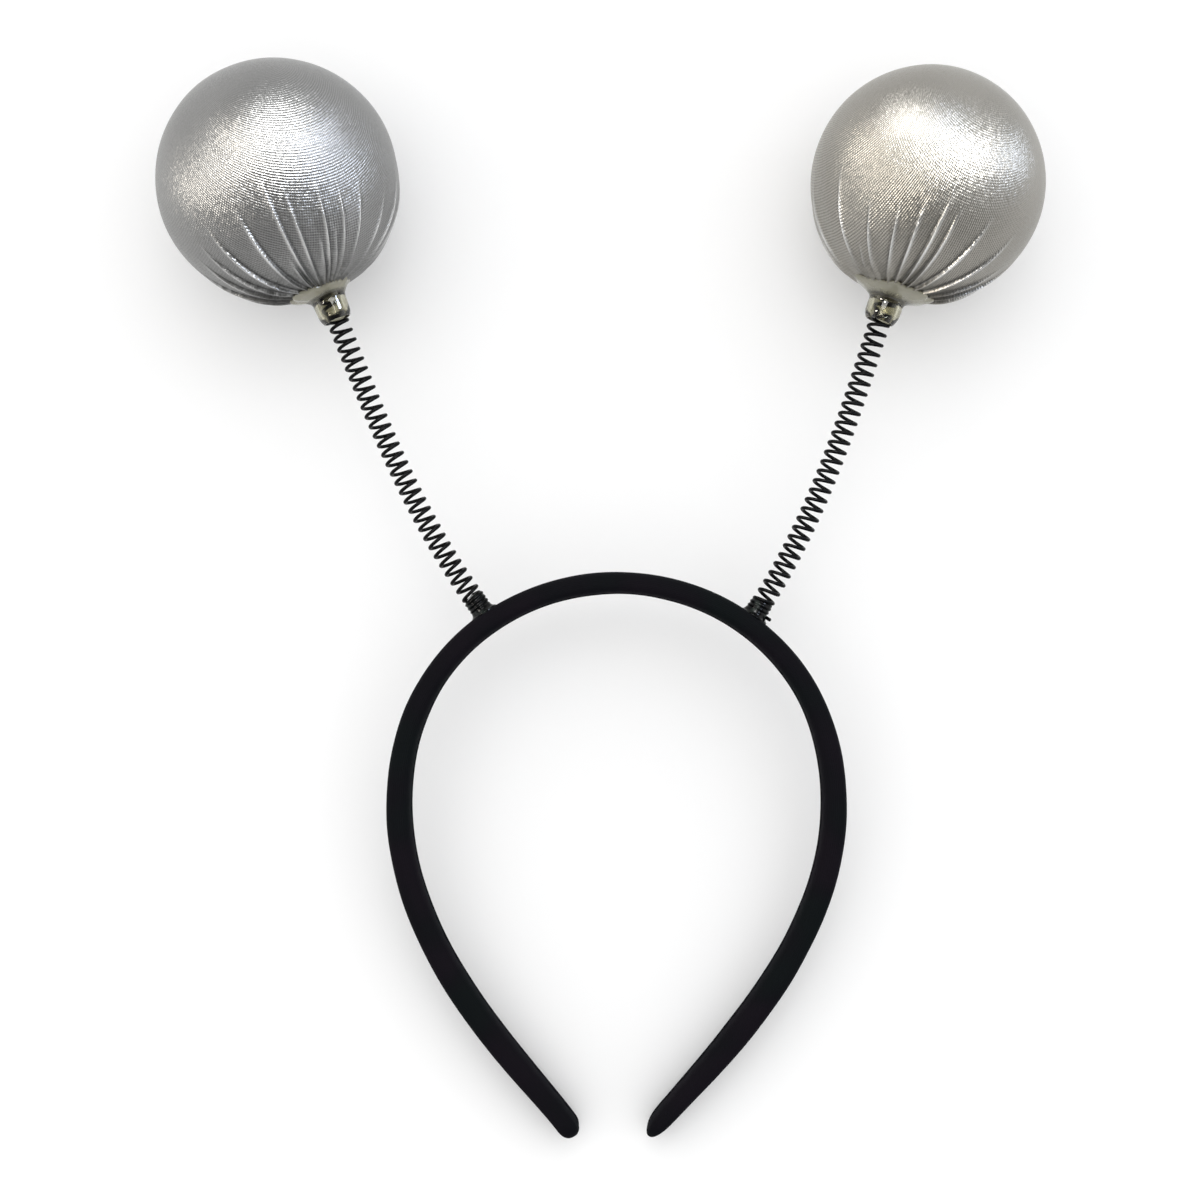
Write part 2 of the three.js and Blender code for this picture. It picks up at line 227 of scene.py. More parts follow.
def brushedTricot():
    material, tree, shader = startMaterial(
        "black_brushed_tricot", bandCloth["colour"],
        Roughness=0.88, Specular_IOR_Level=0.04, Sheen_Weight=0.02, Sheen_Roughness=0.45,
        Sheen_Tint=linear(bandCloth["sheen"]),
    )
    place = addNode(tree, "ShaderNodeTexCoord").outputs["Object"]
    patches = addNode(tree, "ShaderNodeTexNoise", {
        "Vector": place, "Scale": 1000 / bandCloth["castPatch"], "Detail": 1,
    })
    cast = addNode(tree, "ShaderNodeValToRGB", {"Fac": patches.outputs["Fac"]})
    cast.color_ramp.elements.new(0.5)
    for element, (share, colour) in zip(cast.color_ramp.elements, bandCloth["cast"]):
        element.position = share
        element.color = linear(colour)
    tree.links.new(cast.outputs["Color"], shader.inputs["Base Color"])
    cloth = addNode(tree, "ShaderNodeUVMap", uv_map="fabric").outputs["UV"]
    ribs = addNode(tree, "ShaderNodeTexWave", {
        "Vector": cloth, "Scale": waveScale(bandCloth["rib"]), "Distortion": 1.2,
        "Detail": 1, "Detail Scale": 1.5,
    }, bands_direction="Y")
    nap = addNode(tree, "ShaderNodeTexNoise", {
        "Vector": place, "Scale": 1000 / bandCloth["nap"], "Detail": 3, "Roughness": 0.7,
    })
    height = addNode(tree, "ShaderNodeMix", {
        "Factor": bandCloth["napShare"], "A": ribs.outputs["Fac"], "B": nap.outputs["Fac"],
    })
    bump = addNode(tree, "ShaderNodeBump", {
        "Height": height.outputs["Result"], "Strength": 0.55, "Distance": bandCloth["relief"] / 1000,
    })
    tree.links.new(bump.outputs["Normal"], shader.inputs["Normal"])
    return material


# Silver lame, a jersey knit of flat metallic yarn: broad soft highlights that break into
# glints at their edges, because each stitch lies at its own small angle
ballCloth = {
    "colours": ["#8a8a89", "#98958e"],  # the left cover is a cooler, darker grey than the right
    "gapPaintedShade": 0.54,  # how light the gaps between rows stay under their painted shade
    # painted shade for the bottoms of folds and the line under each steep side, and a painted highlight for
    # the crests
    "paintedFoldShadeColour": "#38393b",
    "paintedCrestHighlightColour": "#d0d0cf",
    "rib": 0.72,  # the knit's rows are 0.63 mm apart, drawn a little coarser so that they show
    "rowShare": 0.68,  # how much more the rows show than the columns
    "relief": 0.12,
    "glint": 0.6,  # about one stitch
    "glintTilt": 0.22,
    "crowded": (11, 22),  # from the neck, in millimetres: nearer it the gathered knit shows no rows
    "smooth": (52, 82),  # farther from it the knit is pulled smooth
    "leastRelief": 0.15,
    "plainShade": 0.85,  # where no rows show
}


def silverKnit():
    material, tree, shader = startMaterial(
        "silver_lame_knit", ballCloth["colours"][0],
        Metallic=0.94, Roughness=0.38, Sheen_Weight=0.05, Sheen_Roughness=0.4,
    )
    cloth = addNode(tree, "ShaderNodeUVMap", uv_map="fabric").outputs["UV"]
    wales, courses = [
        addNode(tree, "ShaderNodeTexWave", {
            "Vector": cloth, "Scale": waveScale(ballCloth["rib"]), "Distortion": 1.2,
            "Detail": 1, "Detail Scale": 0.8,
        }, bands_direction=direction)
        for direction in ("X", "Y")
    ]
    fromNeck = addNode(tree, "ShaderNodeVectorMath", {0: cloth}, operation="LENGTH")
    stretched = addNode(tree, "ShaderNodeMapRange", {
        "Value": fromNeck.outputs["Value"], "From Min": ballCloth["smooth"][0] / 1000,
        "From Max": ballCloth["smooth"][1] / 1000, "To Min": 1, "To Max": ballCloth["leastRelief"],
    })
    crowded = addNode(tree, "ShaderNodeMapRange", {
        "Value": fromNeck.outputs["Value"], "From Min": ballCloth["crowded"][0] / 1000,
        "From Max": ballCloth["crowded"][1] / 1000, "To Min": ballCloth["leastRelief"], "To Max": 1,
    })
    relief = addNode(tree, "ShaderNodeMath", {
        0: stretched.outputs["Result"], 1: crowded.outputs["Result"],
    }, operation="MULTIPLY")
    crossed = addNode(tree, "ShaderNodeMix", {
        "Factor": ballCloth["rowShare"], "A": wales.outputs["Fac"], "B": courses.outputs["Fac"],
    })
    stitches = addNode(tree, "ShaderNodeMath", {
        0: crossed.outputs["Result"], 1: relief.outputs[0],
    }, operation="MULTIPLY")
    # each stitch of flat yarn lies at its own small angle
    cells = addNode(tree, "ShaderNodeTexVoronoi", {"Vector": cloth, "Scale": 1000 / ballCloth["glint"]})
    tilt = addNode(tree, "ShaderNodeVectorMath", {
        0: cells.outputs["Color"], 1: (0.5, 0.5, 0.5),
    }, operation="SUBTRACT")
    facing = addNode(tree, "ShaderNodeNewGeometry").outputs["Normal"]
    glint = addNode(tree, "ShaderNodeVectorMath", {
        0: tilt.outputs[0], 1: (ballCloth["glintTilt"],) * 3, 2: facing,
    }, operation="MULTIPLY_ADD")
    bump = addNode(tree, "ShaderNodeBump", {
        "Height": stitches.outputs[0], "Strength": 0.8, "Distance": ballCloth["relief"] / 1000,
        "Normal": glint.outputs[0],
    })
    tree.links.new(bump.outputs["Normal"], shader.inputs["Normal"])
    # painted shade darkens the gaps between rows and the bottoms of folds, and a painted highlight brightens
    # a pleat's tight crest
    warmth = addNode(tree, "ShaderNodeAttribute", attribute_name="warmth")
    yarn = addNode(tree, "ShaderNodeMix", {
        "Factor": warmth.outputs["Fac"],
        "A": linear(ballCloth["colours"][0]), "B": linear(ballCloth["colours"][1]),
    }, data_type="RGBA")
    # painted shade in the gaps between rows, and an even painted shade where no rows show
    rows = addNode(tree, "ShaderNodeMapRange", {
        "Value": crossed.outputs["Result"], "From Min": 0.15, "From Max": 0.6,
        "To Min": ballCloth["gapPaintedShade"], "To Max": 1,
    })
    shade = addNode(tree, "ShaderNodeMix", {
        "Factor": relief.outputs[0], "A": ballCloth["plainShade"], "B": rows.outputs["Result"],
    })
    knit = addNode(tree, "ShaderNodeVectorMath", {
        0: yarn.outputs["Result"], "Scale": shade.outputs["Result"],
    }, operation="SCALE")
    # painted shade at the bottoms of folds and under each steep side
    paintedFoldShade = addNode(tree, "ShaderNodeAttribute", attribute_name="paintedFoldShade")
    paintedHollowShade = addNode(tree, "ShaderNodeMix", {
        "Factor": paintedFoldShade.outputs["Fac"], "A": knit.outputs[0], "B": linear(ballCloth["paintedFoldShadeColour"]),
    }, data_type="RGBA")
    # painted highlight on the crests
    paintedCrestHighlight = addNode(tree, "ShaderNodeAttribute", attribute_name="paintedCrestHighlight")
    tone = addNode(tree, "ShaderNodeMix", {
        "Factor": paintedCrestHighlight.outputs["Fac"], "A": paintedHollowShade.outputs["Result"], "B": linear(ballCloth["paintedCrestHighlightColour"]),
    }, data_type="RGBA")
    tree.links.new(tone.outputs["Result"], shader.inputs["Base Color"])
    return material


# Black coated spring steel, drawn and coiled: satin, with a thin bright line along each turn
wireCoat = {
    "colour": "#050506",
    "roughness": (0.28, 0.46),
    "wearPatch": 1.5,
}


def coatedSpringSteel():
    material, tree, shader = startMaterial(
        "black_coated_spring_steel", wireCoat["colour"], Specular_IOR_Level=0.06,
    )
    place = addNode(tree, "ShaderNodeTexCoord").outputs["Object"]
    wear = addNode(tree, "ShaderNodeTexNoise", {
        "Vector": place, "Scale": 1000 / wireCoat["wearPatch"], "Detail": 2,
    })
    satin = addNode(tree, "ShaderNodeMapRange", {
        "Value": wear.outputs["Fac"], "To Min": wireCoat["roughness"][0], "To Max": wireCoat["roughness"][1],
    })
    tree.links.new(satin.outputs["Result"], shader.inputs["Roughness"])
    return material


# Clear hot-melt glue, set in the air: greenish grey, glossy and clear at the neck, so that the
# turns inside it show dark, and cloudy in the flange
clearGlue = {
    "colour": "#c4c5b2",
    "tints": ["#aeab96", "#ccc9b5"],
    "tintPatch": 3,
    "flangeClearness": 0.6,
    "ripple": 4,
    "relief": 0.3,
}


def clearHotGlue():
    material, tree, shader = startMaterial(
        "clear_hot_glue", clearGlue["colour"], Roughness=0.04, IOR=1.48,
    )
    place = addNode(tree, "ShaderNodeTexCoord").outputs["Object"]
    cloud = addNode(tree, "ShaderNodeTexNoise", {
        "Vector": place, "Scale": 1000 / clearGlue["tintPatch"], "Detail": 2,
    })
    tint = addNode(tree, "ShaderNodeMix", {
        "Factor": cloud.outputs["Fac"],
        "A": linear(clearGlue["tints"][0]), "B": linear(clearGlue["tints"][1]),
    }, data_type="RGBA")
    tree.links.new(tint.outputs["Result"], shader.inputs["Base Color"])
    milk = addNode(tree, "ShaderNodeAttribute", attribute_name="milk")
    clearness = addNode(tree, "ShaderNodeMapRange", {
        "Value": milk.outputs["Fac"], "To Min": 1, "To Max": clearGlue["flangeClearness"],
    })
    tree.links.new(clearness.outputs["Result"], shader.inputs["Transmission Weight"])
    ripple = addNode(tree, "ShaderNodeTexNoise", {
        "Vector": place, "Scale": 1000 / clearGlue["ripple"], "Detail": 0,
    })
    bump = addNode(tree, "ShaderNodeBump", {
        "Height": ripple.outputs["Fac"], "Strength": 0.12, "Distance": clearGlue["relief"] / 1000,
    })
    tree.links.new(bump.outputs["Normal"], shader.inputs["Normal"])
    return material


# The same glue run over black turns and cloth: it looks black and wet, with milky streaks
blackGlue = {
    "colour": "#0b0d0e",
    "tints": ["#08090a", "#3c433f"],
    "streak": 2.4,
}


def glueOverBlack():
    material, tree, shader = startMaterial(
        "hot_glue_over_black", blackGlue["colour"], Roughness=0.14, Specular_IOR_Level=0.09,
    )
    place = addNode(tree, "ShaderNodeTexCoord").outputs["Object"]
    streaks = addNode(tree, "ShaderNodeTexNoise", {
        "Vector": place, "Scale": 1000 / blackGlue["streak"], "Detail": 1,
    })
    milk = addNode(tree, "ShaderNodeMapRange", {
        "Value": streaks.outputs["Fac"], "From Min": 0.55, "From Max": 0.85,
    })
    tint = addNode(tree, "ShaderNodeMix", {
        "Factor": milk.outputs["Result"],
        "A": linear(blackGlue["tints"][0]), "B": linear(blackGlue["tints"][1]),
    }, data_type="RGBA")
    tree.links.new(tint.outputs["Result"], shader.inputs["Base Color"])
    return material


bandFabric = brushedTricot()
ballFabric = silverKnit()
springWire = coatedSpringSteel()
collarGlue = clearHotGlue()
footGlue = glueOverBlack()
print("materials made")

# What differs from side to side, in millimetres and degrees
sides = {
    "left": {
        "outward": -1,
        # end of the arm: its distance from the middle, and the length over which it is rounded
        "tipOffset": 10.9, "tipLean": 30, "tipThickness": 5.6, "tipRounding": 4.4,
        # the foot's distance along the band from the middle of the crown, and its height over it
        "footDistance": 35, "footHeight": 4.9,
        "springLength": 80.3, "leanAtFoot": 35.4, "leanAtTop": 21.4,
        # the wire's start: its height over the band, its bearing in turns, and the share of a
        # turn over which it lies straight
        "startHeight": 1.965, "firstTurn": 0.7, "straightTurns": 0,
        "neckLength": 8.2, "flangeRadius": 7.8, "flangeShift": -1.2,
        "ballLean": 23.2, "ballRadius": 31.3, "knitTurn": 26,
    },
    "right": {
        "outward": 1,
        "tipOffset": 8.3, "tipLean": 34, "tipThickness": 4.8, "tipRounding": 8,
        "footDistance": 36.4, "footHeight": 4.2,
        "springLength": 79.2, "leanAtFoot": 32.7, "leanAtTop": 17.6,
        "startHeight": 1.226, "firstTurn": -0.06, "straightTurns": 0.15,
        "neckLength": 7.7, "flangeRadius": 9.9, "flangeShift": 0.8,
        "ballLean": 19.1, "ballRadius": 30.3, "knitTurn": 105,
    },
}

# Headband: two curves a side give its line, and the cover is drawn round that line
band = {
    "spread": 56.6,  # from the middle to where the arms are widest apart
    "crownRise": 57.9,
    "armDrop": 86,
    # pulls of the curves, as shares of the three lengths above
    "crownAcross": 0.44, "crownDown": 0.7, "armDown": 0.485, "tipUp": 0.17,
    "curveSteps": 240,
    "depth": 11,
    "crownThickness": 5.5,
    "armThickness": 6.7,
    "armShare": (0, 0.75),  # shares of a half's length over which it grows to the arm's thickness
    "tipShare": (0.8, 1),  # and over which it narrows to the tip's
    "roundness": 2 / 3,  # of the section: 1 for an ellipse, less for a squarer one
    "tipRoundness": 2.6,  # of the arm's end: 2 for an ellipse, more for a blunter one
    "lastRing": 0.999,  # share of the rounding at which the end's cap closes it
    "stations": 190,  # along each half
    "tipStations": 26,
    "sectionPoints": 88,
    "sectionSteps": 2000,
}
cover = {
    "girth": 29.5,
    "innerFace": (1.2, 2.4),  # how far in from the middle it starts, and where it is all of it
    "swell": 0.07,  # unevenness of the padding
    "swellSize": 17,
    "swellSeed": 4,
    "swellTip": (0, 3),  # distances from the arm's end over which it fades
    "lapTip": (0.4, 3),  # and over which the lap and its puckers do
    "lapHeight": 0.3,  # step where the cloth laps over itself on the inner face
    "lapPlace": 0.7,
    "lapWander": [(0.3, 9, 0), (0.2, 3.7, 1)],  # rows of how far, millimetres a radian, phase
    "lapWidth": 0.22,
    "lapFades": (2.6, 4.6),  # behind the step, to the cover's other side
    "pucker": 0.1,
    "puckerSpacing": 0.83,  # millimetres a radian, here and below
    "puckerDrift": 2,
    "driftSpacing": 6.1,
    "puckerAcross": 3,
    "gather": 0.2,  # pleats of the cover at the arm's end
    "gathers": 11,
    "gatherLength": 2.6,
    "gatherStart": 0.8,
}


def bezier(corners):
    start, startPull, endPull, end = np.array(corners, float)
    share = np.linspace(0, 1, band["curveSteps"] + 1)[:, None]
    left = 1 - share
    return (
        left ** 3 * start + 3 * left ** 2 * share * startPull
        + 3 * left * share ** 2 * endPull + share ** 3 * end
    )


def bandLine(side):
    # points from the middle of the crown to the end of an arm, and how far along each one is
    across = side["outward"] * band["spread"]
    rise, drop = band["crownRise"], band["armDrop"]
    tip = np.array([side["outward"] * side["tipOffset"], 0, -drop])
    tipPull = tip + band["tipUp"] * drop * leaning(side["outward"] * math.radians(side["tipLean"]))
    crown = bezier([
        (0, 0, rise), (band["crownAcross"] * across, 0, rise),
        (across, 0, band["crownDown"] * rise), (across, 0, 0),
    ])
    arm = bezier([(across, 0, 0), (across, 0, -band["armDown"] * drop), tipPull, tip])
    points = np.concatenate([crown, arm[1:]])
    along = np.concatenate([[0], np.cumsum(np.linalg.norm(np.diff(points, axis=0), axis=1))])
    return points, along


def bandPlaces(side, distances):
    # middle of the band, the way out of the head, and the thickness at distances from the crown
    points, along = bandLine(side)
    slopes = np.gradient(points, along, axis=0)
    middle = np.stack([np.interp(distances, along, points[:, axis]) for axis in range(3)], axis=-1)
    slope = np.stack([np.interp(distances, along, slopes[:, axis]) for axis in range(3)], axis=-1)
    slope /= np.linalg.norm(slope, axis=-1)[..., None]
    out = side["outward"] * np.stack([-slope[..., 2], slope[..., 1], slope[..., 0]], axis=-1)
    share = distances / along[-1]
    grown = mixed(band["crownThickness"], band["armThickness"], smoothStep(share, *band["armShare"]))
    return middle, out, mixed(grown, side["tipThickness"], smoothStep(share, *band["tipShare"]))


def sectionAngles():
    # angles whose points lie evenly round the rounded oblong section
    fine = np.linspace(0, 2 * math.pi, band["sectionSteps"] + 1)
    outline = np.stack([
        bulged(np.cos(fine)) * band["depth"], bulged(np.sin(fine)) * band["armThickness"],
    ], axis=-1)
    around = np.concatenate([[0], np.cumsum(np.linalg.norm(np.diff(outline, axis=0), axis=1))])
    shares = np.arange(band["sectionPoints"]) / band["sectionPoints"]
    return np.interp(shares * around[-1], around, fine)


def bulged(wave):
    return np.sign(wave) * np.abs(wave) ** band["roundness"]


def halfBand(side):
    # stations from the middle of the crown to an arm's end, with the section round each of them
    length = bandLine(side)[1][-1]
    roundStart = length - side["tipRounding"]
    plain = np.linspace(0, roundStart, band["stations"], endpoint=False)
    tipShare = np.sin(np.linspace(0, math.pi / 2, band["tipStations"]))
    distances = np.concatenate([plain, mixed(roundStart, length, tipShare)])
    rounding = (distances - roundStart) / (length - roundStart)
    rounding = np.clip(rounding, 0, band["lastRing"])[:, None]
    middle, out, thickness = bandPlaces(side, distances)
    angles = sectionAngles()[None]
    outward, backward = bulged(np.sin(angles)), bulged(np.cos(angles))
    narrowing = np.sqrt(1 - rounding ** band["tipRoundness"])
    high = outward * thickness[:, None] / 2 * narrowing
    deep = backward * band["depth"] / 2 * narrowing
    return distances, middle, out, high, deep, length


def coverRelief(rings, distances, toTip, high, deep):
    # how far the cover stands proud: the padding's swells everywhere, and on the inner face the
    # lap with its puckers, and the gathers that close the arm's end
    inside = smoothStep(-high, *cover["innerFace"])
    lapEdge = cover["lapPlace"]
    for reach, spacing, phase in cover["lapWander"]:
        lapEdge = lapEdge + reach * np.sin(distances / spacing + phase)
    lapEdge = lapEdge[:, None]
    lap = smoothStep(deep, lapEdge - cover["lapWidth"], lapEdge + cover["lapWidth"])
    lap = lap * (1 - smoothStep(deep, *cover["lapFades"]))
    drift = cover["puckerDrift"] * np.sin(distances / cover["driftSpacing"])
    folds = np.sin(distances / cover["puckerSpacing"] + drift)[:, None]
    folds = folds * np.cos(deep / cover["puckerAcross"])
    gathers = np.cos(cover["gathers"] * sectionAngles())[None] * np.exp(-toTip / cover["gatherLength"])
    gathers = gathers * smoothStep(toTip, 0, cover["gatherStart"])
    swell = cover["swell"] * softWaves(rings, cover["swellSize"], cover["swellSeed"])
    closing = cover["lapHeight"] * lap - cover["pucker"] * folds * (1 - lap)
    return (
        swell * smoothStep(toTip, *cover["swellTip"])
        + inside * smoothStep(toTip, *cover["lapTip"]) * closing
        + inside * cover["gather"] * gathers
    )


def headband():
    leftHalf, rightHalf = halfBand(sides["left"]), halfBand(sides["right"])
    distances, middle, out, high, deep = [
        np.concatenate([first[:0:-1] * sign, second])
        for first, second, sign in zip(leftHalf[:5], rightHalf[:5], (-1, 1, 1, 1, 1))
    ]
    toTip = np.concatenate([leftHalf[5] - leftHalf[0][:0:-1], rightHalf[5] - rightHalf[0]])[:, None]
    backAxis = np.array([0, 1, 0])
    rings = middle[:, None] + high[..., None] * out[:, None] + deep[..., None] * backAxis
    proud = coverRelief(rings, distances, toTip, high, deep)
    outline = np.stack([high, deep], axis=-1)
    sideways = outline / np.maximum(np.linalg.norm(outline, axis=-1), 1e-6)[..., None]
    rings += proud[..., None] * (sideways[..., :1] * out[:, None] + sideways[..., 1:] * backAxis)
    around = np.arange(band["sectionPoints"] + 1) / band["sectionPoints"] * (cover["girth"] / 1000)
    fabric = np.stack(np.broadcast_arrays(distances[:, None] / 1000, around[None]), axis=-1)
    piece = skin("headband_cover", rings, bandFabric, fabric)
    intoFrame(piece, "headband")


headband()
print("headband made")

# Coil springs
spring = {
    "wireDiameter": 0.93,
    "coilDiameter": 5.9,
    "pitch": 2.68,
    "closedPitch": 1.12,
    "endRoom": 0.765,  # from the wire's middle to the end of the collar's socket
    "flangeThickness": 1,
    "stepsPerTurn": 40,
    "wireSides": 12,
    "lineStep": 0.25,
    "linePoints": 1200,
}


def springLine(side):
    # middle line from the band's surface to the ball, with the distance along it of each point
    middle, out, thickness = bandPlaces(side, np.array([side["footDistance"]]))
    start = middle[0] + out[0] * thickness[0] / 2
    total = side["footHeight"] + side["springLength"] + side["neckLength"]
    distances = np.linspace(0, total, 1 + math.ceil(total / spring["lineStep"]))
    middles = (distances[1:] + distances[:-1]) / 2
    steps = leaning(springLean(side, middles)) * (distances[1] - distances[0])
    return distances, start + np.concatenate([np.zeros((1, 3)), np.cumsum(steps, axis=0)])


def springLean(side, distances):
    share = np.clip((distances - side["footHeight"]) / side["springLength"], 0, 1)
    bent = mixed(side["leanAtTop"], side["leanAtFoot"], (1 - share) ** 2)
    lean = np.where(distances < side["footHeight"] + side["springLength"], bent, side["ballLean"])
    return side["outward"] * np.radians(lean)


def standingOn(side, distance):
    # place and axes of a piece that stands on the spring's middle line
    distances, points = springLine(side)
    place = np.array([np.interp(distance, distances, points[:, axis]) for axis in range(3)])
    lean = springLean(side, np.array(distance))
    return place, np.array([leaning(lean + math.pi / 2), [0, 1, 0], leaning(lean)])


def coilTree():
    # winds a wire round a middle line: close turns first, then open ones. Straight Turns is the
    # share of a turn over which the wire's start lies straight.
    tree = bpy.data.node_groups.new("coil_spring", "GeometryNodeTree")
    sockets = {}
    for name, kind in [
        ("Middle Line", "NodeSocketGeometry"), ("Wire Radius", "NodeSocketFloat"),
        ("Coil Radius", "NodeSocketFloat"), ("Open Pitch", "NodeSocketFloat"),
        ("Closed Pitch", "NodeSocketFloat"), ("Closed Turns", "NodeSocketFloat"),
        ("Turns per Step", "NodeSocketFloat"), ("First Angle", "NodeSocketFloat"),
        ("Straight Turns", "NodeSocketFloat"),
        ("Points", "NodeSocketInt"), ("Wire Sides", "NodeSocketInt"),
        ("Back Axis", "NodeSocketVector"), ("Material", "NodeSocketMaterial"),
    ]:
        sockets[name] = tree.interface.new_socket(name, in_out="INPUT", socket_type=kind).identifier
    tree.interface.new_socket("Coil", in_out="OUTPUT", socket_type="NodeSocketGeometry")
    given = addNode(tree, "NodeGroupInput").outputs
    index = addNode(tree, "GeometryNodeInputIndex")
    turn = addNode(tree, "ShaderNodeMath", {
        0: index.outputs[0], 1: given["Turns per Step"],
    }, operation="MULTIPLY")
    closed = addNode(tree, "ShaderNodeMath", {
        0: turn.outputs[0], 1: given["Closed Turns"],
    }, operation="MINIMUM")
    opened = addNode(tree, "ShaderNodeMath", {
        0: turn.outputs[0], 1: closed.outputs[0],
    }, operation="SUBTRACT")
    closedLength = addNode(tree, "ShaderNodeMath", {
        0: closed.outputs[0], 1: given["Closed Pitch"],
    }, operation="MULTIPLY")
    length = addNode(tree, "ShaderNodeMath", {
        0: opened.outputs[0], 1: given["Open Pitch"], 2: closedLength.outputs[0],
    }, operation="MULTIPLY_ADD")
    middle = addNode(tree, "GeometryNodeSampleCurve", {
        "Curves": given["Middle Line"], "Length": length.outputs[0],
    }, mode="LENGTH")
    angle = addNode(tree, "ShaderNodeMath", {
        0: turn.outputs[0], 1: 2 * math.pi, 2: given["First Angle"],
    }, operation="MULTIPLY_ADD")
    across = addNode(tree, "ShaderNodeVectorMath", {
        0: given["Back Axis"], 1: middle.outputs["Tangent"],
    }, operation="CROSS_PRODUCT")
    turned = addNode(tree, "ShaderNodeVectorRotate", {
        "Vector": across.outputs[0], "Axis": middle.outputs["Tangent"], "Angle": angle.outputs[0],
    }, rotation_type="AXIS_ANGLE")
    # the wire's first stretch lies straight, so it leaves the coil and pokes out of the glue
    leaving = addNode(tree, "ShaderNodeMath", {
        0: given["Straight Turns"], 1: turn.outputs[0],
    }, operation="SUBTRACT")
    straight = addNode(tree, "ShaderNodeMath", {0: leaving.outputs[0], 1: 0.0}, operation="MAXIMUM")
    swing = addNode(tree, "ShaderNodeMath", {
        0: straight.outputs[0], 1: 2 * math.pi,
    }, operation="MULTIPLY")
    share = addNode(tree, "ShaderNodeMath", {0: swing.outputs[0]}, operation="COSINE")
    radius = addNode(tree, "ShaderNodeMath", {
        0: given["Coil Radius"], 1: share.outputs[0],
    }, operation="DIVIDE")
    place = addNode(tree, "ShaderNodeVectorMath", {
        0: turned.outputs[0], 1: radius.outputs[0], 2: middle.outputs["Position"],
    }, operation="MULTIPLY_ADD")
    counted = addNode(tree, "GeometryNodeResampleCurve", {
        "Curve": given["Middle Line"], "Count": given["Points"],
    }, mode="COUNT")
    coil = addNode(tree, "GeometryNodeSetPosition", {
        "Geometry": counted.outputs[0], "Position": place.outputs[0],
    })
    section = addNode(tree, "GeometryNodeCurvePrimitiveCircle", {
        "Resolution": given["Wire Sides"], "Radius": given["Wire Radius"],
    })
    wire = addNode(tree, "GeometryNodeCurveToMesh", {
        "Curve": coil.outputs[0], "Profile Curve": section.outputs["Curve"], "Fill Caps": True,
    })
    smooth = addNode(tree, "GeometryNodeSetShadeSmooth", {0: wire.outputs[0]})
    real = addNode(tree, "GeometryNodeRealizeInstances", {0: smooth.outputs[0]})
    coated = addNode(tree, "GeometryNodeSetMaterial", {
        "Geometry": real.outputs[0], "Material": given["Material"],
    })
    addNode(tree, "NodeGroupOutput", {0: coated.outputs[0]})
    return tree, sockets


def coilSpring(sideName, tree, sockets):
    side = sides[sideName]
    distances, points = springLine(side)
    start = side["startHeight"]
    socketDepth = side["neckLength"] - spring["flangeThickness"]
    end = side["footHeight"] + side["springLength"] + socketDepth - spring["endRoom"]
    closedTurns = (side["footHeight"] - start) / spring["closedPitch"]
    turns = closedTurns + (end - side["footHeight"]) / spring["pitch"]
    reach = np.linspace(start, end, spring["linePoints"])
    route = np.stack([np.interp(reach, distances, points[:, axis]) for axis in range(3)], axis=-1)
    curve = bpy.data.curves.new(f"{sideName}_middle_line", "CURVE")
    curve.dimensions = "3D"
    spline = curve.splines.new("POLY")
    spline.points.add(len(route) - 1)
    spline.points.foreach_set("co", np.c_[laidDown(route), np.ones(len(route))].ravel())
    middleLine = bpy.data.objects.new(curve.name, curve)
    bpy.context.scene.collection.objects.link(middleLine)
    modifier = middleLine.modifiers.new("coil", "NODES")
    modifier.node_group = tree
    sizes = {
        "Wire Radius": spring["wireDiameter"] / 2000,
        "Coil Radius": (spring["coilDiameter"] - spring["wireDiameter"]) / 2000,
        "Open Pitch": spring["pitch"] / 1000,
        "Closed Pitch": spring["closedPitch"] / 1000,
        "Closed Turns": closedTurns,
        "Turns per Step": 1 / spring["stepsPerTurn"],
        "First Angle": 2 * math.pi * side["firstTurn"],
        "Straight Turns": side["straightTurns"],
        "Points": round(turns * spring["stepsPerTurn"]) + 1,
        "Wire Sides": spring["wireSides"],
        "Back Axis": wornBack.tolist(),
        "Material": springWire,
    }
    for name, value in sizes.items():
        modifier[sockets[name]] = value
    bpy.context.view_layer.update()
    settled = middleLine.evaluated_get(bpy.context.evaluated_depsgraph_get())
    mesh = bpy.data.meshes.new_from_object(settled)
    bpy.data.objects.remove(middleLine)
    piece = finishedPiece(f"{sideName}_spring_wire", mesh, springWire)
    intoFrame(piece, f"{sideName}_spring")


springTree, springSockets = coilTree()
for sideName in sides:
    coilSpring(sideName, springTree, springSockets)
print("springs made")

# Glue feet: the glue fills the closed turns and runs out over the band
foot = {
    "root": 1.5,  # how deep it reaches into the band
    "bodyRadius": 2.84,
    "groove": 0.13,  # how far the glue sinks between two turns
    "wound": (0.9, 1.7),  # heights over which the turns start to show in it
    "skirt": 1.0,
    "skirtFade": 0.5,
    "topRise": 0.1,
    "topSlant": 0.35,
    "slantBearing": 0.6,
    "shoulder": (-0.5, 0.6),  # heights from the top over which it draws in
    "shoulderShare": 0.25,
    "crown": 0.45,
    "crownRings": 7,
    "runs": 0.16,
    "runSize": 4.5,
    "runsFrom": (-0.6, 0.4),
    "pointsAround": 72,
    "rows": 60,
    "seeds": {"left": 11, "right": 12},
}


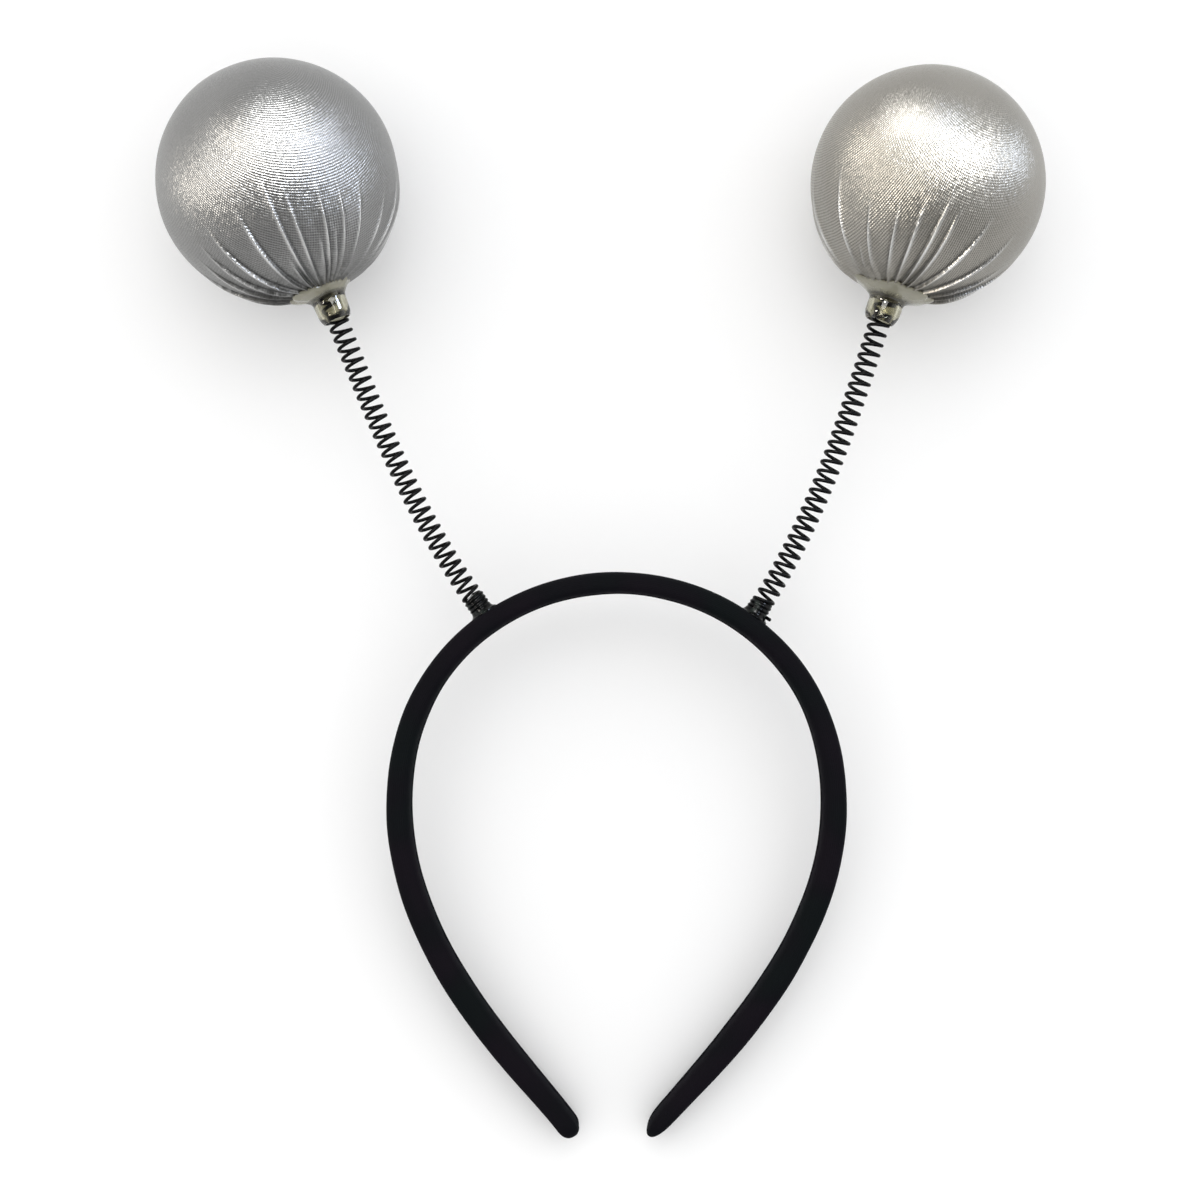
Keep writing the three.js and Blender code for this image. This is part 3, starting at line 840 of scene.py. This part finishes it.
def footMass(sideName):
    side = sides[sideName]
    around = np.arange(foot["pointsAround"]) / foot["pointsAround"] * 2 * math.pi
    slant = foot["topSlant"] * np.cos(around - foot["slantBearing"])
    top = side["footHeight"] + foot["topRise"] + slant
    share = np.linspace(0, 1, foot["rows"])[:, None]
    height = mixed(-foot["root"], top, share)
    wound = (height - side["startHeight"]) / spring["closedPitch"]
    turn = wound + side["firstTurn"] - around / (2 * math.pi)
    grooves = foot["groove"] * np.cos(2 * math.pi * turn) * smoothStep(height, *foot["wound"])
    radius = foot["bodyRadius"] + grooves
    radius = radius + foot["skirt"] * np.exp(-np.maximum(height, 0) / foot["skirtFade"])
    radius = radius * (1 - smoothStep(height - top, *foot["shoulder"]) * foot["shoulderShare"])
    crownAngle = np.linspace(0, math.pi / 2, foot["crownRings"] + 2)[1:-1, None]
    radius = np.concatenate([radius, radius[-1] * np.cos(crownAngle)])
    height = np.concatenate([height, top + foot["crown"] * np.sin(crownAngle)])
    flat = np.stack([radius * np.cos(around), radius * np.sin(around), height], axis=-1)
    swell = foot["runs"] * softWaves(flat, foot["runSize"], foot["seeds"][sideName])
    swell = swell * smoothStep(height, *foot["runsFrom"])
    flat[..., :2] *= 1 + (swell / np.maximum(radius, 0.5))[..., None]
    place, axes = standingOn(side, 0)
    piece = skin(f"{sideName}_foot_glue", place + flat @ axes, footGlue)
    intoFrame(piece, f"{sideName}_foot")


for sideName in sides:
    footMass(sideName)
print("feet made")

# Balls: silver knit pulled over foam and gathered at the collar
ball = {
    "firstRing": 0.6,  # angles are in degrees from the gathered pole
    "pleated": (8, 92),
    "rings": {"pole": 6, "pleated": 160, "smooth": 76},
    "stepsPerPleat": 15,
    "evenSteps": 0.35,  # share of them that is even: the rest crowd at the crests
    "unevenness": 0.09,
    "unevenSize": 21,
    "unevenSeeds": {"left": 61, "right": 62},
}
pleating = {
    "height": 1.0,
    "rises": (4, 13),  # over these angles it comes up,
    "lowShare": 0.5,
    "grows": (13, 30),  # and over these it grows from lowShare of its height to all of it
    "thins": (0.45, 0.85),  # over these shares of its reach it loses some height,
    "thinning": 0.35,
    "fades": (0.65, 1),  # and over these the rest
    "fan": 1.4,  # how late it turns from its bearing at the neck to that at its tip
    "cordWidth": 0.55,  # the crest itself, a thin raised cord
    "cordShare": 0.55,
    "gentleWidth": 1.9,
    "steepWidth": 0.32,
    "grooveDepth": 0.2,  # at the foot of the steep side
    "groovePlace": 0.75,
    "grooveWidth": 0.45,
    "pressedOver": 0.3,
    "neckHollow": 0.35,  # between pleats near the neck
    "hollowStarts": (5, 12),
    "hollowFades": (14, 46),
    "tuckShade": 0.75,  # painted shade: the dark line under the steep side
    "tuckShadePlace": 0.65,
    "tuckShadeWidth": 0.3,
    "paintedShadeFrom": 0.25,  # how far below the foam's round a fold begins to get painted shade
    "paintedShadeOver": 0.4,
    "paintedShadeFades": (20, 60),
    "paintedShine": 1.6,  # painted highlight of the crests
    "paintedShineWidths": (0.4, 0.25),  # on the gentle and the steep side
    "paintedShineStarts": (24, 46),
    # the pleats that the photo doesn't show are drawn at random
    "hiddenGap": 15,
    "hiddenDrift": 0.25,
    "longReach": (68, 84),
    "shortReach": (42, 60),
    "longShare": 0.75,
    "heights": (0.75, 1.1),
    "seeds": {"left": 21, "right": 22},
}
pleats = {
    # rows of how far a pleat reaches from the gathered pole, and of its bearing round the ball at
    # its tip and at the neck, in degrees, with -90 facing the viewer
    "left": [
        (72, -143, -148), (77, -131, -133), (79, -111, -119), (44, -101, -109), (86, -94, -100),
        (78, -86, -91), (50, -76, -83), (76, -70, -76), (51, -65, -69), (74, -59, -61), (71, -46, -52),
        (66, -24, -38),
    ],
    "right": [
        (79, -171, -172), (81, -142, -138), (42, -130, -127), (66, -121, -116), (70, -104, -101),
        (75, -92, -91), (83, -81, -82), (77, -74, -73), (79, -56, -63), (78, -35, -50), (63, -18, -38),
    ],
}


def allPleats(sideName):
    random = np.random.default_rng(pleating["seeds"][sideName])
    rows = list(pleats[sideName])
    start, end = rows[-1][1], rows[0][1] + 360
    startNeck, endNeck = rows[-1][2], rows[0][2] + 360
    hidden = round((end - start) / pleating["hiddenGap"]) - 1
    drift, longShare = pleating["hiddenDrift"], pleating["longShare"]
    for place in range(1, hidden + 1):
        share = (place + random.uniform(-drift, drift)) / (hidden + 1)
        reaches = [random.uniform(*pleating["longReach"]), random.uniform(*pleating["shortReach"])]
        reach = random.choice(reaches, p=[longShare, 1 - longShare])
        rows.append((reach, mixed(start, end, share), mixed(startNeck, endNeck, share)))
    heights = random.uniform(*pleating["heights"], len(rows))
    return np.array(rows), heights


def pleatLines(sideName, polar):
    # bearing and height of each pleat's crest at each ring
    rows, heights = allPleats(sideName)
    reach, tipBearing, neckBearing = rows.T
    share = polar / reach
    turned = (1 - np.clip(share, 0, 1)) ** pleating["fan"]
    bearing = np.radians(mixed(tipBearing, neckBearing, turned))
    rise = pleating["height"] * heights * smoothStep(polar, *pleating["rises"])
    rise = rise * mixed(pleating["lowShare"], 1, smoothStep(polar, *pleating["grows"]))
    rise = rise * (1 - smoothStep(share, *pleating["fades"]))
    rise = rise * (1 - pleating["thinning"] * smoothStep(share, *pleating["thins"]))
    return bearing, rise


def ridge(distance, width):
    return np.exp(-(distance / width) ** 2)


def pleatedRings(side, polar, bearing, rise):
    # bearing and height of each point round each ring, with its painted tuck shade and the painted highlight
    # on its crest. Seen from the front, the left ball's pleats fall steeply on their right side, the right
    # ball's on their left.
    nextBearing = np.roll(bearing, -1, axis=1)
    nextBearing[:, -1] += 2 * math.pi
    steps = np.arange(ball["stepsPerPleat"]) / ball["stepsPerPleat"]
    crowding = (1 - ball["evenSteps"]) * (1 - np.cos(math.pi * steps)) / 2
    steps = ball["evenSteps"] * steps + crowding
    around = bearing[..., None] + (nextBearing - bearing)[..., None] * steps
    circle = side["ballRadius"] * np.sin(np.radians(polar))[..., None]
    room = circle * (nextBearing - bearing)[..., None]
    fromLast, toNext = room * steps, room * (1 - steps)
    lastRise, nextRise = rise[..., None], np.roll(rise, -1, axis=1)[..., None]
    steepFirst = side["outward"] < 0
    steepSide, steepRise = (fromLast, lastRise) if steepFirst else (toNext, nextRise)
    gentleSide, gentleRise = (toNext, nextRise) if steepFirst else (fromLast, lastRise)
    cord = ridge(gentleSide, pleating["cordWidth"])
    slope = ridge(gentleSide, pleating["gentleWidth"])
    gentle = gentleRise * mixed(slope, cord, pleating["cordShare"])
    steep = steepRise * ridge(steepSide, pleating["steepWidth"])
    groove = ridge(steepSide - pleating["groovePlace"], pleating["grooveWidth"])
    groove = pleating["grooveDepth"] * steepRise * groove
    hollow = pleating["neckHollow"] * np.sin(math.pi * steps)
    hollow = hollow * (1 - smoothStep(polar, *pleating["hollowFades"]))[..., None]
    hollow = hollow * smoothStep(polar, *pleating["hollowStarts"])[..., None]
    height = np.maximum(steep, gentle) - groove - hollow
    lean = pleating["pressedOver"] * np.maximum(height, 0) / np.maximum(circle, 1)
    around = around + lean * (1 if steepFirst else -1)
    # painted shade: a dark line under the steep side
    tuckShade = ridge(steepSide - pleating["tuckShadePlace"], pleating["tuckShadeWidth"])
    tuckShade = pleating["tuckShade"] * steepRise * tuckShade
    # painted highlight along the crest, on both its sides
    gentleWidth, steepWidth = pleating["paintedShineWidths"]
    paintedShine = gentleRise * ridge(gentleSide, gentleWidth) + steepRise * ridge(steepSide, steepWidth)
    return [values.reshape(len(polar), -1) for values in (around, height, tuckShade, paintedShine)]


def knitBall(sideName):
    side = sides[sideName]
    size = side["ballRadius"]
    counts = ball["rings"]
    first, (pleatsStart, pleatsEnd) = ball["firstRing"], ball["pleated"]
    polar = np.concatenate([
        np.linspace(first, pleatsStart, counts["pole"], endpoint=False),
        np.linspace(pleatsStart, pleatsEnd, counts["pleated"], endpoint=False),
        np.linspace(pleatsEnd, 180 - first, counts["smooth"]),
    ])[:, None]
    bearing, rise = pleatLines(sideName, polar)
    around, height, tuckShade, paintedShine = pleatedRings(side, polar, bearing, rise)
    angle = np.radians(polar)
    directions = np.stack(np.broadcast_arrays(
        np.sin(angle) * np.cos(around), np.sin(angle) * np.sin(around), -np.cos(angle),
    ), axis=-1)
    waves = softWaves(directions * size, ball["unevenSize"], ball["unevenSeeds"][sideName])
    height = height + ball["unevenness"] * waves
    place, axes = standingOn(side, side["footHeight"] + side["springLength"] + side["neckLength"])
    rings = place + size * axes[2] + (directions * (size + height)[..., None]) @ axes
    flatRadius = size / 1000 * angle
    turned = np.c_[around, around[:, :1] + 2 * math.pi] - math.radians(side["knitTurn"])
    fabric = np.stack([flatRadius * np.cos(turned), flatRadius * np.sin(turned)], axis=-1)
    # painted shade in the hollows near the neck and under each steep side, and a painted highlight on the
    # crests
    paintedFoldShade = np.clip((-height - pleating["paintedShadeFrom"]) / pleating["paintedShadeOver"], 0, 1)
    paintedFoldShade = np.maximum(paintedFoldShade * (1 - smoothStep(polar, *pleating["paintedShadeFades"])), tuckShade)
    paintedCrestHighlight = np.clip(pleating["paintedShine"] * paintedShine, 0, 1) * smoothStep(polar, *pleating["paintedShineStarts"])
    piece = skin(f"{sideName}_knit_ball", rings, ballFabric, fabric, {
        "paintedFoldShade": paintedFoldShade, "paintedCrestHighlight": paintedCrestHighlight, "warmth": np.full_like(paintedFoldShade, side["outward"] > 0),
    })
    intoFrame(piece, f"{sideName}_ball")


for sideName in sides:
    knitBall(sideName)
print("balls made")

# Glue collars: a neck round the spring's last turns and a thin flange run out over the knit
collar = {
    "socketRadius": 3.25,
    "mouth": 0.15,  # height over which the socket's edge is rounded
    "lipWidth": 0.5,
    "lipHeight": 0.2,
    "neckRadius": 4.5,
    "neckStart": (0.97, 1.5),  # share of its radius, and height in millimetres
    "neck": [(1, 0.4), (1, 0.65), (0.98, 0.8), (1.12, 0.95)],  # shares of its radius and depth
    # shares of the flange's radius, with the height over the knit there
    "flange": [(0.78, 1.3), (0.9, 1.1), (0.99, 0.8), (1.03, 0.35), (1.02, 0)],
    "underside": (0.98, 0.6, 0.2),
    "sunk": 0.35,  # how far the underside lies inside the knit
    "lobes": [(2, 0.04), (3, 0.05), (5, 0.035), (9, 0.03), (14, 0.02)],  # count, share of the radius
    "runs": 0.04,
    "runSize": 7,
    "milkFrom": 1.05,  # share of the neck's radius at which the glue starts to cloud
    "milkTo": 0.75,  # share of the flange's radius at which it is cloudy
    "pointsAround": 120,
    "roundings": 3,
    "seeds": {"left": 31, "right": 32},
}


def glueCollar(sideName):
    side = sides[sideName]
    random = np.random.default_rng(collar["seeds"][sideName])
    around = np.arange(collar["pointsAround"]) / collar["pointsAround"] * 2 * math.pi
    lobes = sum(
        size * np.cos(count * around + random.uniform(0, 2 * math.pi)) for count, size in collar["lobes"]
    )
    flange = side["flangeRadius"] * (1 + lobes)
    neck, socket = collar["neckRadius"], collar["socketRadius"]
    depth = side["neckLength"] - spring["flangeThickness"]

    def overKnit(share, proud):
        radius = share * flange
        knitDip = side["ballRadius"] - np.sqrt(side["ballRadius"] ** 2 - radius ** 2)
        return radius, side["neckLength"] + knitDip - proud

    # the outline from the socket's floor out over the lip, the neck and the flange, and back in
    # under the flange
    neckStart = neck * collar["neckStart"][0], collar["neckStart"][1]
    outline = [
        (0.8 * socket, depth), (socket, depth), (socket, 0.95 * depth), (socket, collar["mouth"]),
        (socket + collar["lipWidth"] / 2, 0), (socket + collar["lipWidth"], collar["lipHeight"]),
        neckStart, *[(neck * radiusShare, depthShare * depth) for radiusShare, depthShare in collar["neck"]],
        *[overKnit(share, proud) for share, proud in collar["flange"]],
        *[overKnit(share, -collar["sunk"]) for share in collar["underside"]],
    ]
    profile = np.array([(radius + 0 * around, height + 0 * around) for radius, height in outline])
    profile = cornersCut(profile, collar["roundings"])
    radius, height = profile[:, 0], profile[:, 1]
    flat = np.stack([radius * np.cos(around), radius * np.sin(around), height], axis=-1)
    swell = 1 + collar["runs"] * softWaves(flat, collar["runSize"], collar["seeds"][sideName])
    flat[..., :2] *= swell[..., None]
    flat[..., 0] += side["flangeShift"] * smoothStep(radius, neck, side["flangeRadius"])
    place, axes = standingOn(side, side["footHeight"] + side["springLength"])
    milk = smoothStep(radius, collar["milkFrom"] * neck, collar["milkTo"] * side["flangeRadius"])
    piece = skin(f"{sideName}_collar_glue", place + flat @ axes, collarGlue, marks={"milk": milk})
    intoFrame(piece, f"{sideName}_collar")


for sideName in sides:
    glueCollar(sideName)
print("collars made")

# Studio: a pale floor that the walls light evenly, and lights that only give highlights: a soft
# key above the camera, a cool light from the right and a warm one from the left
studio = {
    "floorSize": 8,  # metres
    "floorColour": "#fbfbfb",
    "floorGrain": 2.5,  # millimetres
    "floorRelief": 0.2,
    "evenLight": 1.09,  # what the floor and the cloth's matt side receive
    # what shiny surfaces see: the walls' brightness against a slope that grows with height and,
    # by endShare, toward the near and far ends
    "endShare": 0.43,
    "wallSlope": (0.05, 0.76),
    "wallLight": (2.9, 0.15),
    "aim": (0, 0, 100),  # the lights' common aim as worn, in millimetres
    "lights": [
        # name, way to it as worn, distance in metres, width in metres, watts, colour
        ("key", (0.02, -0.866, 0.5), 0.9, 0.26, 10, "#ffffff"),
        ("soft", (0.06, -0.8, 0.55), 0.95, 0.9, 11, "#ffffff"),
        ("cool", (0.7, -0.6, 0.38), 1, 0.3, 8, "#dce8ff"),
        ("warm", (-0.72, -0.64, 0.16), 1, 0.34, 9, "#fff7ec"),
    ],
}


def paleFloor():
    material, tree, shader = startMaterial("matt_white_card", studio["floorColour"], Roughness=0.9)
    place = addNode(tree, "ShaderNodeTexCoord").outputs["Object"]
    grain = addNode(tree, "ShaderNodeTexNoise", {
        "Vector": place, "Scale": 1000 / studio["floorGrain"], "Detail": 2,
    })
    bump = addNode(tree, "ShaderNodeBump", {
        "Height": grain.outputs["Fac"], "Strength": 0.05, "Distance": studio["floorRelief"] / 1000,
    })
    tree.links.new(bump.outputs["Normal"], shader.inputs["Normal"])
    half = studio["floorSize"] / 2
    corners = [(-half, -half, 0), (half, -half, 0), (half, half, 0), (-half, half, 0)]
    mesh = bpy.data.meshes.new("floor")
    mesh.from_pydata(corners, [], [(0, 1, 2, 3)])
    finishedPiece("floor", mesh, material)


def studioLights():
    aim = laidDown(studio["aim"])
    for name, way, distance, width, power, colour in studio["lights"]:
        light = bpy.data.lights.new(name, "AREA")
        light.shape = "DISK"
        light.size = width
        light.energy = power
        light.color = linear(colour)[:3]
        lamp = bpy.data.objects.new(name, light)
        toward = unit(np.array(way)) @ wornAxes
        lamp.location = aim + toward * distance
        lamp.rotation_euler = Vector(toward).to_track_quat("Z", "Y").to_euler()
        lamp.visible_diffuse = False
        bpy.context.scene.collection.objects.link(lamp)


def studioWalls():
    # shiny surfaces see pale walls, brightest to the left and right, and a dark ceiling, and matt
    # ones get the same light from everywhere
    world = bpy.data.worlds.new("studio")
    bpy.context.scene.world = world
    world.use_nodes = True
    tree = world.node_tree
    direction = addNode(tree, "ShaderNodeTexCoord").outputs["Generated"]
    parts = addNode(tree, "ShaderNodeSeparateXYZ", {"Vector": direction})
    endways = addNode(tree, "ShaderNodeMath", {0: parts.outputs["Y"]}, operation="ABSOLUTE")
    slope = addNode(tree, "ShaderNodeMath", {
        0: endways.outputs[0], 1: studio["endShare"], 2: parts.outputs["Z"],
    }, operation="MULTIPLY_ADD")
    (lowest, highest), (brightest, darkest) = studio["wallSlope"], studio["wallLight"]
    shade = addNode(tree, "ShaderNodeMapRange", {
        "Value": slope.outputs[0], "From Min": lowest, "From Max": highest,
        "To Min": brightest, "To Max": darkest,
    })
    matt = addNode(tree, "ShaderNodeLightPath").outputs["Is Diffuse Ray"]
    strength = addNode(tree, "ShaderNodeMix", {
        "Factor": matt, "A": shade.outputs["Result"], "B": studio["evenLight"],
    })
    background = tree.nodes["Background"]
    background.inputs["Color"].default_value = linear("#ffffff")
    tree.links.new(strength.outputs["Result"], background.inputs["Strength"])


paleFloor()
studioLights()
studioWalls()
bpy.context.scene.view_settings.view_transform = "Standard"
print("studio set")
